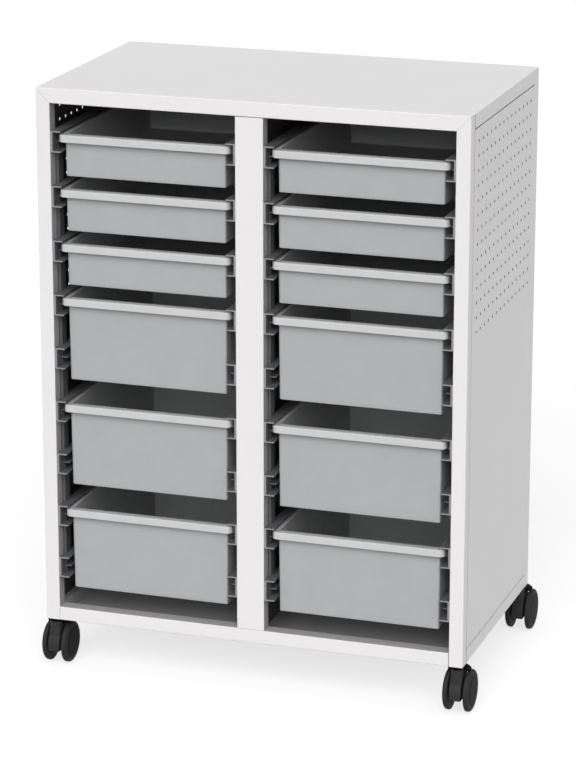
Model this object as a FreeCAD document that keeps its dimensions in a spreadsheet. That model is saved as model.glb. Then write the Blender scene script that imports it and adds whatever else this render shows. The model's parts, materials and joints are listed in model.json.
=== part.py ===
"""Two-bay classroom tray storage unit on four twin-wheel casters, in millimetres.

A frame of square tube carries flush sheet panels, two bays of tray runners and
twelve lift-out trays. X runs across the front, the front faces -Y, Z is up, and
the origin lies on the floor, centred between the wheels of the four casters.
"""
import FreeCAD
import Part
import Sketcher
import os

Vector = FreeCAD.Vector

SIZES = {
    # cabinet
    "tube_side": 25,
    "tube_wall": 1.5,
    "tube_edge": 1,  # eased long edges
    "centre_stile_width": 50,
    "sheet": 1.5,
    "sheet_edge": 0.8,  # eased fold of a side panel
    "panel_return": 12,  # folds of a side panel
    "divider_return": 20,  # folds of the divider
    # tray runners
    "runner_levels": 9,
    "runner_pitch": 97,
    "first_runner_drop": 75,  # top skin to the first runner
    "last_runner_rise": 119,  # underside of the body to the last runner's top
    "runner_height": 38,
    "runner_web": 4,
    "runner_lip": 2.6,
    "lip_cover": 6,  # lips past the tray's edge
    "runner_setback": 2,  # runner ends behind the frame's faces
    "ledge_overlap": 2.5,  # ledge past the rim's skirt
    "ledge_thickness": 2.4,
    "ledge_setback": 18,  # ledge behind the runner's front end
    # trays
    "tray_width": 312,
    "tray_depth": 427,
    "tray_setback": 5,  # rim behind the frame's front
    "tray_rear_room": 18,  # rim to the rear face of the body
    "tray_side_play": 8.5,  # rim to the runner's web, on each side
    "tray_lid_gap": 3.2,  # rim to the upper lip
    "rim_height": 14,
    "rim_side": 9.5,  # rim's overhang on the sides
    "rim_end": 10.5,  # rim's overhang at the front and the rear
    "rim_radius": 10,
    "tray_wall": 2,
    "tray_draft": 0.5,  # degrees
    "tray_radius": 6,
    "shallow_height": 75,
    "deep_height": 150,
    # casters
    "wheel_diameter": 75,
    "wheel_width": 14,
    "wheel_side_gap": 1,
    "caster_gap": 15,  # wheel to the underside of the body
    "caster_trail": 21,  # axle behind the swivel axis
    "fork_width": 20,
    "fork_inset": 1.5,  # housing inside the wheel's outline
    "fork_foot": 16,  # housing above the floor
    "fork_heel": 12,  # housing behind the axle
    "neck_length": 22,
    "hood_width": 41,
    "hood_setback": 17,  # hood behind the swivel axis
    "hood_gap": 6,  # hood above the wheels
    "swivel_gap": 1,
    "axle_radius": 3,
    "axle_grip": 9,  # axle inside each wheel
    "axle_end_gap": 0.5,
    "running_clearance": 0.05,
    "stem_radius": 5.5,
    "stem_journal": 24,  # stem inside the housing
    "socket_height": 32,
    "socket_flange": 2,
    "socket_clearance": 0.1,
}

# Slack, in millimetres, when a face is found by its place.
FINDING_SLACK = 0.1

# Levels count down from the topmost pair of runners.
SHALLOW_LEVELS = (1, 2, 3)
DEEP_LEVELS = (4, 6, 8)

# Overall sizes, as expressions in the sheet's names: the body is as large as its trays ask.
BAY = "(dim.tray_width + 2 * (dim.tray_side_play + dim.runner_web))"
BODY_WIDTH = f"(2 * {BAY} + dim.centre_stile_width + 2 * dim.tube_side)"
BODY_DEPTH = "(dim.tray_setback + dim.tray_depth + dim.tray_rear_room)"
RUNNER_SPAN = "((dim.runner_levels - 1) * dim.runner_pitch)"
BODY_HEIGHT = f"(dim.first_runner_drop + {RUNNER_SPAN} + dim.last_runner_rise)"

# Faces and centres of the cabinet body.
HALF_WIDTH = f"({BODY_WIDTH} / 2)"
FRONT = f"(-{BODY_DEPTH} / 2 - dim.caster_trail)"
REAR = f"({BODY_DEPTH} / 2 - dim.caster_trail)"
BOTTOM = "(dim.wheel_diameter + dim.caster_gap)"
TOP = f"({BOTTOM} + {BODY_HEIGHT})"
AXLE_DROP = "(dim.caster_gap + dim.wheel_diameter / 2)"
FRAME_HEIGHT = f"({BODY_HEIGHT} - dim.sheet)"
SIDE_SPAN = f"({BODY_DEPTH} - 2 * dim.tube_side)"
FRONT_SPAN = f"({BODY_WIDTH} - 2 * dim.tube_side)"
PANEL_HEIGHT = f"({FRAME_HEIGHT} - 2 * dim.tube_side)"
BAY_CENTRE = f"(({BAY} + dim.centre_stile_width) / 2)"
TUBE_CENTRE = f"({HALF_WIDTH} - dim.tube_side / 2)"
LEDGE_DROP = "(dim.runner_lip + dim.tray_lid_gap + dim.rim_height)"

# Turns that lay a piece drawn upright along another axis.
UPRIGHT = FreeCAD.Rotation()
ALONG_X = FreeCAD.Rotation(Vector(0, 1, 0), 90)
ALONG_Y = FreeCAD.Rotation(Vector(1, 0, 0), -90)
HALF_TURN = FreeCAD.Rotation(Vector(0, 0, 1), 180)
FACING_LEFT = FreeCAD.Rotation(Vector(1, 1, 1), 120)
FACING_RIGHT = HALF_TURN.multiply(FACING_LEFT)
FACING_REAR = FreeCAD.Rotation(Vector(1, 0, 0), 90)

doc = FreeCAD.newDocument("tray_storage_unit")


def make_sheet():
    """Spreadsheet of the driving dimensions, one named cell each."""
    sheet = doc.addObject("Spreadsheet::Sheet", "dim")
    for row, (alias, size) in enumerate(SIZES.items(), start=1):
        sheet.set(f"A{row}", alias)
        sheet.set(f"B{row}", str(size))
        sheet.setAlias(f"B{row}", alias)
    doc.recompute()
    return sheet


dim = make_sheet()


def amount(expression):
    """Value in millimetres of an expression in the sheet's names."""
    return float(dim.evalExpression(str(expression)))


def new_body(name):
    """Empty body whose label is the name of the sub-part."""
    body = doc.addObject("PartDesign::Body", name)
    body.Label = name
    body.AllowCompound = True
    return body


def place(item, x, y, z, turn=UPRIGHT):
    """Turn a sub-part, then tie its corner to the sheet."""
    item.Placement = FreeCAD.Placement(Vector(0, 0, 0), turn)
    for axis, expression in zip("xyz", (x, y, z)):
        item.setExpression(f".Placement.Base.{axis}", str(expression))


def new_sketch(body, name, role):
    """Sketch on one of the body's own origin planes."""
    sketch = body.newObject("Sketcher::SketchObject", f"{body.Name}_{name}")
    planes = [item for item in body.Origin.OriginFeatures if item.Role == role]
    sketch.AttachmentSupport = [(planes[0], "")]
    sketch.MapMode = "FlatFace"
    return sketch


def tie(sketch, kind, place_of, expression):
    """Add one dimension to a sketch and bind it to the sheet."""
    constraint = Sketcher.Constraint(kind, *place_of, amount(expression))
    index = sketch.addConstraint(constraint)
    sketch.setExpression(f"Constraints[{index}]", str(expression))


def polygon(sketch, corners):
    """Closed loop of straight edges through corners given as pairs of expressions."""
    count = len(corners)
    first = sketch.GeometryCount
    points = [Vector(amount(x), amount(y), 0) for x, y in corners]
    for index in range(count):
        edge = Part.LineSegment(points[index], points[(index + 1) % count])
        sketch.addGeometry(edge, False)
    for index in range(count):
        following = first + (index + 1) % count
        sketch.addConstraint(Sketcher.Constraint("Coincident", first + index, 2, following, 1))
    for index, (x, y) in enumerate(corners):
        tie(sketch, "DistanceX", (-1, 1, first + index, 1), x)
        tie(sketch, "DistanceY", (-1, 1, first + index, 1), y)


def rectangle(sketch, x_low, x_high, y_low, y_high):
    """Closed rectangle between four expressions."""
    polygon(sketch, [(x_low, y_low), (x_high, y_low), (x_high, y_high), (x_low, y_high)])


def clipped_rectangle(sketch, x_half, y_low, y_high, clip):
    """Rectangle centred on X = 0 whose corners are cut at 45 degrees."""
    polygon(sketch, [
        (f"{clip} - {x_half}", y_low), (f"{x_half} - {clip}", y_low),
        (x_half, f"{y_low} + {clip}"), (x_half, f"{y_high} - {clip}"),
        (f"{x_half} - {clip}", y_high), (f"{clip} - {x_half}", y_high),
        (f"-{x_half}", f"{y_high} - {clip}"), (f"-{x_half}", f"{y_low} + {clip}"),
    ])


def circle(sketch, x, y, radius):
    """Circle with its centre and radius tied to the sheet."""
    centre = Vector(amount(x), amount(y), 0)
    index = sketch.addGeometry(Part.Circle(centre, Vector(0, 0, 1), amount(radius)), False)
    tie(sketch, "DistanceX", (-1, 1, index, 3), x)
    tie(sketch, "DistanceY", (-1, 1, index, 3), y)
    tie(sketch, "Radius", (index,), radius)


def pad(body, sketch, length, reverse=False, both_ways=False):
    """Solid raised from a sketch."""
    feature = body.newObject("PartDesign::Pad", f"{sketch.Name}_pad")
    feature.Profile = sketch
    feature.setExpression("Length", str(length))
    feature.Reversed = reverse
    feature.Midplane = both_ways
    doc.recompute()
    return feature


def pocket(body, sketch, length=None, reverse=False):
    """Cut made from a sketch: to a depth, or right through both ways."""
    before = body.Shape.Volume
    feature = body.newObject("PartDesign::Pocket", f"{sketch.Name}_cut")
    feature.Profile = sketch
    feature.Reversed = reverse
    if length is None:
        feature.Type = "ThroughAll"
        feature.Midplane = True
    else:
        feature.setExpression("Length", str(length))
    doc.recompute()
    if feature.Shape.Volume >= before:
        raise ValueError(f"{feature.Name} removes nothing")
    return feature


def revolve(body, sketch, axis):
    """Solid of revolution about an axis of its sketch."""
    feature = body.newObject("PartDesign::Revolution", f"{sketch.Name}_turned")
    feature.Profile = sketch
    feature.ReferenceAxis = (sketch, [axis])
    doc.recompute()
    return feature


def edges_where(feature, test):
    """Names of the feature's edges that pass a test."""
    edges = enumerate(feature.Shape.Edges, start=1)
    return [f"Edge{number}" for number, edge in edges if test(edge)]


def draft_walls(body, base, test, angle):
    """Draft about the XY plane on the chosen faces, narrowing downwards."""
    faces = enumerate(base.Shape.Faces, start=1)
    names = [f"Face{number}" for number, face in faces if test(face)]
    planes = [item for item in body.Origin.OriginFeatures if item.Role == "XY_Plane"]
    feature = body.newObject("PartDesign::Draft", f"{base.Name}_draft")
    feature.Base = (base, names)
    feature.NeutralPlane = (planes[0], [""])
    feature.setExpression("Angle", str(angle))
    doc.recompute()
    return feature


def round_edges(body, base, test, radius):
    """Fillet on the chosen edges."""
    feature = body.newObject("PartDesign::Fillet", f"{base.Name}_round")
    feature.Base = (base, edges_where(base, test))
    feature.setExpression("Radius", str(radius))
    doc.recompute()
    return feature


def ease_edges(body, base, test, size):
    """Chamfer on the chosen edges."""
    feature = body.newObject("PartDesign::Chamfer", f"{base.Name}_eased")
    feature.Base = (base, edges_where(base, test))
    feature.setExpression("Size", str(size))
    doc.recompute()
    return feature


def tube(name, side_x, side_y, length):
    """Hollow tube drawn upright from its corner, with eased long edges."""
    body = new_body(name)
    section = new_sketch(body, "section", "XY_Plane")
    rectangle(section, 0, side_x, 0, side_y)
    wall = "dim.tube_wall"
    rectangle(section, wall, f"{side_x} - {wall}", wall, f"{side_y} - {wall}")
    raised = pad(body, section, length)
    width = amount(side_x)
    depth = amount(side_y)

    def is_outer_corner(edge):
        box = edge.BoundBox
        on_side = min(box.XMin, width - box.XMax) < FINDING_SLACK
        on_face = min(box.YMin, depth - box.YMax) < FINDING_SLACK
        return on_side and on_face and box.ZLength > FINDING_SLACK

    ease_edges(body, raised, is_outer_corner, "dim.tube_edge")
    return body


def mitre(body, length, at_foot):
    """Cut a tube's ends at 45 degrees, so that its X = 0 side stays whole."""
    side = "dim.tube_side"
    cut = new_sketch(body, "mitre", "XZ_Plane")
    polygon(cut, [("0", length), (side, length), (side, f"{length} - {side}")])
    if at_foot:
        polygon(cut, [("0", "0"), (side, "0"), (side, side)])
    pocket(body, cut)


def corner_posts():
    """Four corner posts, mitred to the top rails."""
    corners = {
        "post_front_left": (f"-{HALF_WIDTH}", FRONT, UPRIGHT),
        "post_rear_left": (f"-{HALF_WIDTH}", f"{REAR} - dim.tube_side", UPRIGHT),
        "post_front_right": (HALF_WIDTH, f"{FRONT} + dim.tube_side", HALF_TURN),
        "post_rear_right": (HALF_WIDTH, REAR, HALF_TURN),
    }
    for name, (x, y, turn) in corners.items():
        body = tube(name, "dim.tube_side", "dim.tube_side", FRAME_HEIGHT)
        mitre(body, FRAME_HEIGHT, at_foot=False)
        place(body, x, y, BOTTOM, turn)


def cross_rails():
    """Rails across the front and the rear: mitred above, butted below."""
    side = "dim.tube_side"
    for end, y in (("front", FRONT), ("rear", f"{REAR} - {side}")):
        upper = tube(f"rail_top_{end}", side, side, BODY_WIDTH)
        mitre(upper, BODY_WIDTH, at_foot=True)
        place(upper, f"-{HALF_WIDTH}", y, f"{TOP} - dim.sheet", ALONG_X)
        lower = tube(f"rail_bottom_{end}", side, side, FRONT_SPAN)
        place(lower, f"{side} - {HALF_WIDTH}", y, f"{BOTTOM} + {side}", ALONG_X)


def side_rails():
    """Rails along the two sides, butted between the posts."""
    side = "dim.tube_side"
    inner = f"{FRONT} + {side}"
    for end, x in (("left", f"-{HALF_WIDTH}"), ("right", f"{HALF_WIDTH} - {side}")):
        upper = tube(f"rail_top_{end}", side, side, SIDE_SPAN)
        place(upper, x, inner, f"{TOP} - dim.sheet", ALONG_Y)
        lower = tube(f"rail_bottom_{end}", side, side, SIDE_SPAN)
        place(lower, x, inner, f"{BOTTOM} + {side}", ALONG_Y)


def centre_stiles():
    """Wide front stile and the shallower rear one that the divider joins."""
    width = "dim.centre_stile_width"
    x = f"-{width} / 2"
    z = f"{BOTTOM} + dim.tube_side"
    front = tube("stile_centre_front", width, "dim.tube_side", PANEL_HEIGHT)
    place(front, x, FRONT, z)
    rear = tube("stile_centre_rear", width, "(dim.tube_side - dim.sheet)", PANEL_HEIGHT)
    place(rear, x, f"{REAR} - dim.tube_side", z)


def flat_sheet(name, width, depth):
    """Plain sheet drawn from its corner."""
    body = new_body(name)
    outline = new_sketch(body, "outline", "XY_Plane")
    rectangle(outline, 0, width, 0, depth)
    pad(body, outline, "dim.sheet")
    return body


def top_base_and_back():
    """Top skin over the frame, base sheet inside it and back sheet flush with it."""
    side = "dim.tube_side"
    top = flat_sheet("panel_top", BODY_WIDTH, BODY_DEPTH)
    place(top, f"-{HALF_WIDTH}", FRONT, f"{TOP} - dim.sheet")
    base = flat_sheet("panel_base", FRONT_SPAN, SIDE_SPAN)
    place(base, f"{side} - {HALF_WIDTH}", f"{FRONT} + {side}", BOTTOM)
    back = flat_sheet("panel_back", FRONT_SPAN, PANEL_HEIGHT)
    place(back, f"{side} - {HALF_WIDTH}", REAR, f"{BOTTOM} + {side}", FACING_REAR)


def folded_panel(name):
    """Side panel with returns folded inwards on all four edges."""
    body = new_body(name)
    outline = new_sketch(body, "outline", "XY_Plane")
    rectangle(outline, 0, SIDE_SPAN, 0, PANEL_HEIGHT)
    block = pad(body, outline, "dim.panel_return")
    ease_edges(body, block, lambda edge: edge.BoundBox.ZMax < FINDING_SLACK, "dim.sheet_edge")
    hollow = new_sketch(body, "hollow", "XY_Plane")
    hollow.setExpression(".AttachmentOffset.Base.z", "dim.panel_return")
    sheet = "dim.sheet"
    rectangle(hollow, sheet, f"{SIDE_SPAN} - {sheet}", sheet, f"{PANEL_HEIGHT} - {sheet}")
    pocket(body, hollow, f"dim.panel_return - {sheet}")
    return body


def side_panels():
    """Side panels, flush with the tubes around them."""
    side = "dim.tube_side"
    z = f"{BOTTOM} + {side}"
    left = folded_panel("panel_side_left")
    place(left, f"-{HALF_WIDTH}", f"{FRONT} + {side}", z, FACING_LEFT)
    right = folded_panel("panel_side_right")
    place(right, HALF_WIDTH, f"{REAR} - {side}", z, FACING_RIGHT)


def divider():
    """Sheet between the bays, folded at its front and rear onto the centre stiles."""
    body = new_body("panel_divider")
    section = new_sketch(body, "section", "XY_Plane")
    sheet = "dim.sheet"
    fold = "dim.divider_return"
    polygon(section, [
        ("0", "0"), (fold, "0"), (fold, sheet), (sheet, sheet),
        (sheet, f"{SIDE_SPAN} - {sheet}"), (fold, f"{SIDE_SPAN} - {sheet}"),
        (fold, SIDE_SPAN), ("0", SIDE_SPAN),
    ])
    pad(body, section, f"{FRAME_HEIGHT} - {sheet}")
    place(body, f"-{sheet} / 2", f"{FRONT} + dim.tube_side", f"{BOTTOM} + {sheet}")


def runner_column(name, hand, x):
    """Column of runners: web on the posts, upper and lower lips, and a ledge for the rim."""
    body = new_body(name)
    section = new_sketch(body, "section", "XZ_Plane")
    web = f"{hand} * dim.runner_web"
    reach = f"{hand} * (dim.runner_web + dim.tray_side_play + dim.lip_cover)"
    ledge = f"{hand} * (dim.runner_web + dim.tray_side_play + dim.tray_wall + dim.ledge_overlap)"
    lip_under = "-dim.runner_lip"
    ledge_top = f"-{LEDGE_DROP}"
    ledge_under = f"-{LEDGE_DROP} - dim.ledge_thickness"
    lip_over = "dim.runner_lip - dim.runner_height"
    foot = "-dim.runner_height"
    polygon(section, [
        ("0", "0"), (reach, "0"), (reach, lip_under), (web, lip_under),
        (web, ledge_top), (ledge, ledge_top), (ledge, ledge_under), (web, ledge_under),
        (web, lip_over), (reach, lip_over), (reach, foot), ("0", foot),
    ])
    length = f"{BODY_DEPTH} - dim.sheet - 2 * dim.runner_setback"
    runner = pad(body, section, length, reverse=True)
    notch = new_sketch(body, "notch", "XZ_Plane")
    rectangle(notch, web, ledge, ledge_under, ledge_top)
    relief = pocket(body, notch, "dim.ledge_setback")
    column = body.newObject("PartDesign::LinearPattern", f"{name}_levels")
    column.Originals = [runner, relief]
    column.Direction = (section, ["V_Axis"])
    column.Reversed = True
    column.setExpression("Length", RUNNER_SPAN)
    column.setExpression("Occurrences", "dim.runner_levels")
    body.Tip = column
    doc.recompute()
    place(body, x, f"{FRONT} + dim.runner_setback", f"{TOP} - dim.first_runner_drop")


def runner_columns():
    """One column of runners on each side of each bay."""
    post_face = f"({HALF_WIDTH} - dim.tube_side)"
    stile_face = "(dim.centre_stile_width / 2)"
    runner_column("runners_left_outer", 1, f"-{post_face}")
    runner_column("runners_left_inner", -1, f"-{stile_face}")
    runner_column("runners_right_inner", 1, stile_face)
    runner_column("runners_right_outer", -1, post_face)


def tangent_clip(radius):
    """Corner cut that touches an arc of this radius."""
    return f"(({radius}) * (2 - sqrt(2)))"


def drafted_walls(bottom):
    """Test for the upright walls that end at a given height below the rim."""
    def test(face):
        box = face.BoundBox
        return abs(box.ZMin - bottom) < FINDING_SLACK and box.ZLength > FINDING_SLACK
    return test


def tray(name, height, hand, level):
    """Moulded tray: hanging rim with an open underside, drafted walls and a flat floor.

    Drawn with its rim's top at Z = 0 and its front at Y = 0.
    """
    body = new_body(name)
    depth = "dim.tray_depth"
    wall = "dim.tray_wall"
    half = "(dim.tray_width / 2)"
    shell_half = f"({half} - dim.rim_side)"
    shell_front = "dim.rim_end"
    shell_rear = f"({depth} - {shell_front})"

    rim = new_sketch(body, "rim", "XY_Plane")
    rectangle(rim, f"-{half}", half, 0, depth)
    block = pad(body, rim, "dim.rim_height", reverse=True)
    round_edges(body, block, lambda edge: edge.BoundBox.ZLength > FINDING_SLACK, "dim.rim_radius")

    skirt = new_sketch(body, "skirt", "XY_Plane")
    skirt.setExpression(".AttachmentOffset.Base.z", "-dim.rim_height")
    clip = tangent_clip(f"dim.rim_radius - {wall}")
    clipped_rectangle(skirt, f"({half} - {wall})", wall, f"({depth} - {wall})", clip)
    pocket(body, skirt, f"dim.rim_height - {wall}", reverse=True)

    shell = new_sketch(body, "shell", "XY_Plane")
    clipped_rectangle(shell, shell_half, shell_front, shell_rear, tangent_clip("dim.tray_radius"))
    solid = pad(body, shell, height, reverse=True)
    draft_walls(body, solid, drafted_walls(-amount(height)), "dim.tray_draft")

    cavity = new_sketch(body, "cavity", "XY_Plane")
    inner_half = f"({shell_half} - {wall})"
    clip = tangent_clip(f"dim.tray_radius - {wall}")
    cavity_rear = f"({shell_rear} - {wall})"
    clipped_rectangle(cavity, inner_half, f"{shell_front} + {wall}", cavity_rear, clip)
    hollow = pocket(body, cavity, f"{height} - {wall}")
    draft_walls(body, hollow, drafted_walls(amount(wall) - amount(height)), "dim.tray_draft")

    rim_top = f"{TOP} - dim.first_runner_drop - dim.runner_lip - dim.tray_lid_gap"
    z = f"{rim_top} - {level - 1} * dim.runner_pitch"
    place(body, f"{hand} * {BAY_CENTRE}", f"{FRONT} + dim.tray_setback", z)


def trays():
    """Six trays in each bay: shallow ones above, deep ones below."""
    for bay, hand in (("left", -1), ("right", 1)):
        for level in SHALLOW_LEVELS:
            tray(f"tray_{bay}_{level}", "dim.shallow_height", hand, level)
        for level in DEEP_LEVELS:
            tray(f"tray_{bay}_{level}", "dim.deep_height", hand, level)


def stem(name, x, y):
    """Insert that closes the foot of a post, with the stem that the caster swivels on."""
    body = new_body(name)
    half = "(dim.tube_side / 2)"
    flange = new_sketch(body, "flange", "XY_Plane")
    rectangle(flange, f"-{half}", half, f"-{half}", half)
    pad(body, flange, "dim.socket_flange", reverse=True)
    plug = new_sketch(body, "plug", "XY_Plane")
    inside = "(dim.tube_side / 2 - dim.tube_wall - dim.socket_clearance)"
    rectangle(plug, f"-{inside}", inside, f"-{inside}", inside)
    pad(body, plug, "dim.socket_height")
    journal = new_sketch(body, "journal", "XY_Plane")
    journal.setExpression(".AttachmentOffset.Base.z", "-dim.socket_flange")
    circle(journal, 0, 0, "dim.stem_radius")
    pad(body, journal, "dim.stem_journal", reverse=True)
    place(body, x, y, BOTTOM)


def fork(name, x, y):
    """Caster housing: a round core between the wheels, under a neck and an eight-sided hood.

    Drawn with the swivel axis at X = Y = 0 and the underside of the cabinet at Z = 0.
    """
    body = new_body(name)
    trail = "dim.caster_trail"
    top = "(-dim.socket_flange - dim.swivel_gap)"
    core = new_sketch(body, "core", "YZ_Plane")
    circle(core, trail, f"-{AXLE_DROP}", "dim.wheel_diameter / 2 - dim.fork_inset")
    pad(body, core, "dim.fork_width", both_ways=True)
    trim = new_sketch(body, "trim", "YZ_Plane")
    beyond = "2 * dim.wheel_diameter"
    foot = f"dim.fork_foot - {BOTTOM}"
    heel = f"{trail} + dim.fork_heel"
    polygon(trim, [
        (f"-{beyond}", foot), (heel, foot), (heel, beyond),
        (beyond, beyond), (beyond, f"-{beyond}"), (f"-{beyond}", f"-{beyond}"),
    ])
    pocket(body, trim)
    neck = new_sketch(body, "neck", "YZ_Plane")
    rectangle(neck, "-dim.neck_length / 2", "dim.neck_length / 2", f"-{AXLE_DROP}", top)
    pad(body, neck, "dim.fork_width", both_ways=True)
    hood = new_sketch(body, "hood", "XY_Plane")
    hood.setExpression(".AttachmentOffset.Base.z", top)
    half_hood = "(dim.hood_width / 2)"
    hood_front = f"dim.hood_setback - {half_hood}"
    hood_rear = f"dim.hood_setback + {half_hood}"
    clipped_rectangle(hood, half_hood, hood_front, hood_rear, tangent_clip(half_hood))
    pad(body, hood, f"dim.caster_gap - dim.hood_gap + {top}", reverse=True)
    journal = new_sketch(body, "journal", "XY_Plane")
    journal.setExpression(".AttachmentOffset.Base.z", top)
    circle(journal, 0, 0, "dim.stem_radius + dim.running_clearance")
    pocket(body, journal, "dim.stem_journal")
    eye = new_sketch(body, "eye", "YZ_Plane")
    circle(eye, trail, f"-{AXLE_DROP}", "dim.axle_radius")
    pocket(body, eye)
    place(body, x, y, BOTTOM)


def axle(name, x, y):
    """Steel axle through the housing, with a journal on each side for a wheel."""
    body = new_body(name)
    section = new_sketch(body, "section", "YZ_Plane")
    circle(section, 0, 0, "dim.axle_radius")
    pad(body, section, "dim.fork_width + 2 * (dim.wheel_side_gap + dim.axle_grip)", both_ways=True)
    place(body, x, f"{y} + dim.caster_trail", f"{BOTTOM} - {AXLE_DROP}")


def wheel(name, hand, x, y):
    """Wheel turned about X, with a blind bore in its inner face."""
    body = new_body(name)
    profile = new_sketch(body, "profile", "XY_Plane")
    bore = "dim.axle_radius + dim.running_clearance"
    bore_end = f"{hand} * (dim.axle_grip + dim.axle_end_gap)"
    radius = "dim.wheel_diameter / 2"
    face = f"{hand} * dim.wheel_width"
    polygon(profile, [
        (bore_end, "0"), (bore_end, bore), ("0", bore),
        ("0", radius), (face, radius), (face, "0"),
    ])
    revolve(body, profile, "H_Axis")
    inner = f"{hand} * (dim.fork_width / 2 + dim.wheel_side_gap)"
    place(body, f"{x} + {inner}", f"{y} + dim.caster_trail", f"{BOTTOM} - {AXLE_DROP}")


def casters():
    """A twin-wheel caster under each corner post, all trailing towards the rear."""
    inset = "dim.tube_side / 2"
    for end, y in (("front", f"({FRONT} + {inset})"), ("rear", f"({REAR} - {inset})")):
        for side, hand in (("left", -1), ("right", 1)):
            corner = f"{end}_{side}"
            x = f"{hand} * {TUBE_CENTRE}"
            stem(f"stem_{corner}", x, y)
            fork(f"fork_{corner}", x, y)
            axle(f"axle_{corner}", x, y)
            wheel(f"wheel_{corner}_left", -1, x, y)
            wheel(f"wheel_{corner}_right", 1, x, y)


def check_and_write():
    """Stop on any failed object or shape, then write one file per sub-part."""
    doc.recompute()
    for item in doc.Objects:
        if "Invalid" in item.State or "Error" in item.State:
            raise ValueError(f"{item.Name} did not compute: {item.State}")
    bodies = [item for item in doc.Objects if item.TypeId == "PartDesign::Body"]
    for body in bodies:
        if body.Shape.isNull() or not body.Shape.isValid():
            raise ValueError(f"{body.Label} has no valid shape")
    os.makedirs("parts", exist_ok=True)
    for body in bodies:
        body.Shape.exportStep(os.path.join("parts", f"{body.Label}.step"))
    print(len(bodies), "sub-parts written")


corner_posts()
cross_rails()
side_rails()
centre_stiles()
top_base_and_back()
side_panels()
divider()
runner_columns()
trays()
casters()
check_and_write()
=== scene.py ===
"""Classroom tray storage unit: sheet steel, square tube, moulded trays and twin-wheel casters."""
import json

import bmesh
import bpy
import numpy as np
from bpy.props import FloatProperty, FloatVectorProperty, IntProperty, PointerProperty
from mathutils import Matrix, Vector

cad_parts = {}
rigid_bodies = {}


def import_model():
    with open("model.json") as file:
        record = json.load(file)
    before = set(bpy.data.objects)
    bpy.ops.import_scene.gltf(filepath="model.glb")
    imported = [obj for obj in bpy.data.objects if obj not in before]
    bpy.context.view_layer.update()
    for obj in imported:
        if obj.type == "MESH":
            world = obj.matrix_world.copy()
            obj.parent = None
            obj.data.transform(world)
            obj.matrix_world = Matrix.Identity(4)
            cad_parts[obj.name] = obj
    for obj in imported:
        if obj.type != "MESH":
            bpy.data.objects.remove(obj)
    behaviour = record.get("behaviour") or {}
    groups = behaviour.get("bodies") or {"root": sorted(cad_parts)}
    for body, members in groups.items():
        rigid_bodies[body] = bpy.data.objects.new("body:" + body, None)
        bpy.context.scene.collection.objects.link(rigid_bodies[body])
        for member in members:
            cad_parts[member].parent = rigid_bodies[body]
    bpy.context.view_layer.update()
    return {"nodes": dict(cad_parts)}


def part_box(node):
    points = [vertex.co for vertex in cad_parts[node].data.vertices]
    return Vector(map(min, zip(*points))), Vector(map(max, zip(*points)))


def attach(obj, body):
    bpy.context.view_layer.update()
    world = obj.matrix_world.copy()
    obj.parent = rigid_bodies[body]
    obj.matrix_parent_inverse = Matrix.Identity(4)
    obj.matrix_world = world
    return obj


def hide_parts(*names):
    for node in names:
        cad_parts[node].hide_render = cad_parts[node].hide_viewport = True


bl_info = {
    "name": "Classroom tray storage unit",
    "version": (1, 0, 0),
    "blender": (4, 5, 0),
    "location": "3D View > Sidebar > Tray unit",
    "description": "Builds the visible surfaces of a mobile two-bay tray unit on its CAD frame",
    "category": "Add Mesh",
}

for leftover in list(bpy.data.objects):
    bpy.data.objects.remove(leftover)

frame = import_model()

MM = 0.001
NEAR = 0.02 * MM  # places closer than this are the same
BAYS = ("left", "right")
LEVELS = (1, 2, 3, 4, 6, 8)
CORNERS = ("front_left", "front_right", "rear_left", "rear_right")
BODY_LOW = np.array(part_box("post_front_left")[0])
BODY_HIGH = np.array(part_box("panel_top")[1])
TUBE = 25 * MM  # side of the square tubes
SHEET = 1.5 * MM  # thickness of the top, back and base


def linear(code):
    """Turns an sRGB hex colour into the linear values that shaders use."""
    parts = [int(code[i:i + 2], 16) / 255 for i in (1, 3, 5)]
    return [p / 12.92 if p <= 0.04045 else ((p + 0.055) / 1.055) ** 2.4 for p in parts]


def length(name, description, default):
    """A size in metres, given in millimetres."""
    return FloatProperty(
        name=name, description=description, default=default * MM,
        min=0.0, precision=4, subtype="DISTANCE", unit="LENGTH",
    )


def colour(name, description, code):
    """A surface colour, given as sRGB hex."""
    return FloatVectorProperty(
        name=name, description=description, default=linear(code),
        size=3, min=0.0, max=1.0, subtype="COLOR",
    )


# ---------------------------------------------------------------- settings


class TubeSettings(bpy.types.PropertyGroup):
    corner: length("Corner", "Rounding of the square tube's outer corners", 1.6)
    top_edge: length("Top edge", "Rounding of the top sheet's upper edges", 1.3)
    seam: length("Seam", "Width of the open joint where a tube butts against another", 0.55)
    side_seam: length("Side seam", "Width of the open joint where a side rail meets a post", 1.3)
    mitre_seam: length("Mitre seam", "Width of the open joint on each side of a mitre", 0.35)
    seam_depth: length("Seam depth", "Depth of the open joints", 1.5)
    foot_joint: length("Foot joint", "Width of the step at the foot of a post", 0.2)
    covered_edge: length("Covered edge", "Rounding of edges that lie against a sheet or a tube", 0.1)
    crisp_edge: length("Crisp edge", "Rounding of the bottom rails' upper edges", 0.4)
    back_edge: length("Back edge", "Rounding of the back sheet's outer edges", 0.7)


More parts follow.
